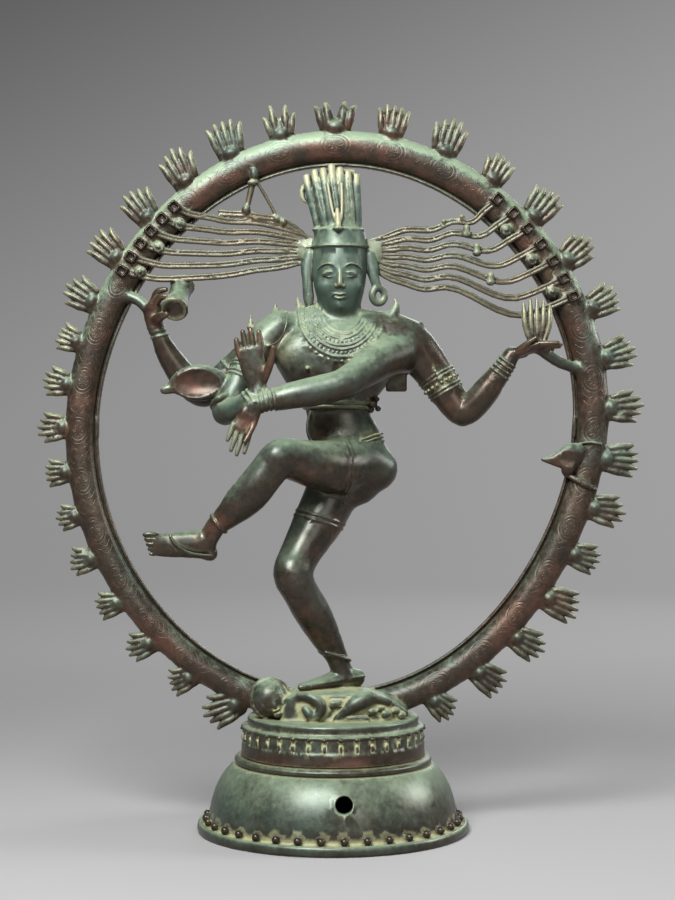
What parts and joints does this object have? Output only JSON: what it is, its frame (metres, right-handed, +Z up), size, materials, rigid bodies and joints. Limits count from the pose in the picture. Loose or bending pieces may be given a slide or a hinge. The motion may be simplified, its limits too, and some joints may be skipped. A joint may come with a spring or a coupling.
{
  "type": "shiva figure",
  "caption": "Cast copper-alloy figure of a four-armed dancer in a hoop of flames, standing on a prone dwarf and a round hollow pedestal.",
  "frame": {"origin": "on the surface it stands on, midway between the outermost flames and in the middle of the pedestal's depth; the pedestal's axis is 6.8 mm to -X", "axes": "+Z up, +Y away from the viewer, so the figure faces -Y"},
  "size_m": [0.5714, 0.254, 0.6829],
  "materials": {
    "bronze": "dark brown copper alloy under a green patina, satin where worn, dull with dirt in the recesses"
  },
  "bodies": {
    "root": {"shiva_figure": "bronze"}
  },
  "joints": []
}
